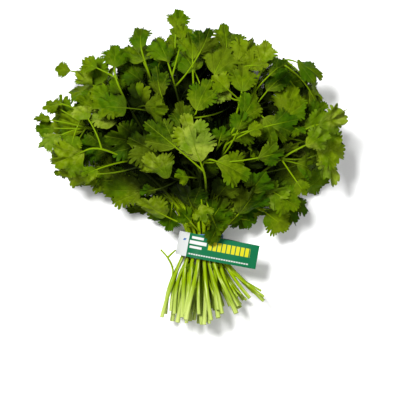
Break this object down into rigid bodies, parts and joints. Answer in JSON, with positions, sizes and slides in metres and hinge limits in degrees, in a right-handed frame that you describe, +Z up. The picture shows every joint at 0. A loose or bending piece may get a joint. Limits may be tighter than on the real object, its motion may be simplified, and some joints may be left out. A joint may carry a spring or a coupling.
{
  "type": "coriander bunch",
  "caption": "Bunch of fresh coriander lying on its side: green stems held by a rubber band and a wrapped paper label, opening into a broad head of lobed leaves.",
  "frame": {"origin": "on the surface that the bunch lies on, under the middle of the tie, at the middle of the label's flat underside", "axes": "+Y from the cut stem ends through the tie to the leafy head, +X across the bunch towards the label's flag, +Z up out of the surface"},
  "size_m": [0.2768, 0.2841, 0.1072],
  "materials": {
    "leaf_green": "fresh leaf, satin",
    "rubber": "matte",
    "paper": "coated print, low gloss"
  },
  "bodies": {
    "root": {"band": "rubber", "label": "paper", "shoot_01": "leaf_green", "shoot_02": "leaf_green", "shoot_03": "leaf_green", "shoot_04": "leaf_green", "shoot_05": "leaf_green", "shoot_06": "leaf_green", "shoot_07": "leaf_green", "shoot_08": "leaf_green", "shoot_09": "leaf_green", "shoot_10": "leaf_green", "shoot_11": "leaf_green", "shoot_12": "leaf_green", "shoot_13": "leaf_green", "shoot_14": "leaf_green", "shoot_15": "leaf_green", "shoot_16": "leaf_green", "shoot_17": "leaf_green", "shoot_18": "leaf_green", "shoot_19": "leaf_green", "shoot_20": "leaf_green", "shoot_21": "leaf_green", "shoot_22": "leaf_green", "shoot_23": "leaf_green", "shoot_24": "leaf_green", "shoot_25": "leaf_green", "shoot_26": "leaf_green", "shoot_27": "leaf_green", "shoot_28": "leaf_green", "shoot_29": "leaf_green", "shoot_30": "leaf_green", "shoot_31": "leaf_green", "shoot_32": "leaf_green", "shoot_33": "leaf_green", "shoot_34": "leaf_green", "shoot_35": "leaf_green", "shoot_36": "leaf_green", "shoot_37": "leaf_green", "shoot_38": "leaf_green", "shoot_39": "leaf_green", "shoot_40": "leaf_green", "shoot_41": "leaf_green", "shoot_42": "leaf_green", "shoot_43": "leaf_green", "shoot_44": "leaf_green", "shoot_45": "leaf_green", "shoot_46": "leaf_green", "shoot_47": "leaf_green", "shoot_48": "leaf_green", "shoot_49": "leaf_green", "shoot_50": "leaf_green", "shoot_51": "leaf_green", "shoot_52": "leaf_green"}
  },
  "joints": []
}
